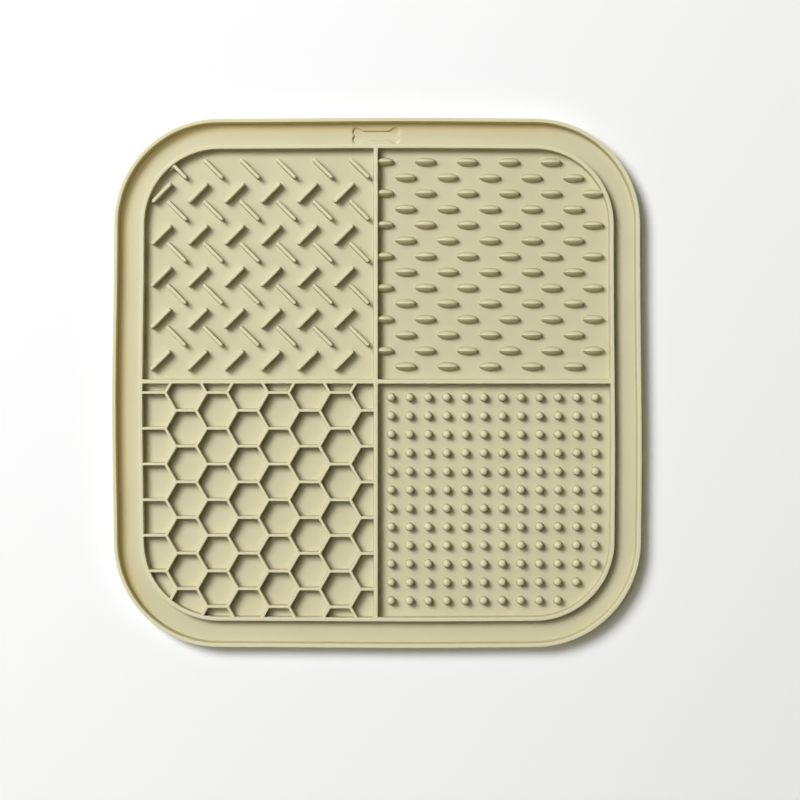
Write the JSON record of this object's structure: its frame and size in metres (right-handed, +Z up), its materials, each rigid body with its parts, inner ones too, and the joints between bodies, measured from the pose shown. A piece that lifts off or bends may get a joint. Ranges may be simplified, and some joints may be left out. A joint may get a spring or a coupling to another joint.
{
  "type": "lick mat",
  "caption": "Square one-piece silicone lick mat for pets: raised lip, gutter, and four walled compartments with ribs, grains, honeycomb and pegs.",
  "frame": {"origin": "middle of the flat underside", "axes": "+Z up out of the textured side, +Y towards the far edge with the bone-shaped recess, +X to the right, with the ribs in the far left compartment"},
  "size_m": [0.2, 0.2008, 0.0066],
  "materials": {
    "silicone": "matt moulded khaki silicone rubber, opaque, with a soft satin sheen on its edges"
  },
  "bodies": {
    "root": {"mat": "silicone"}
  },
  "joints": []
}
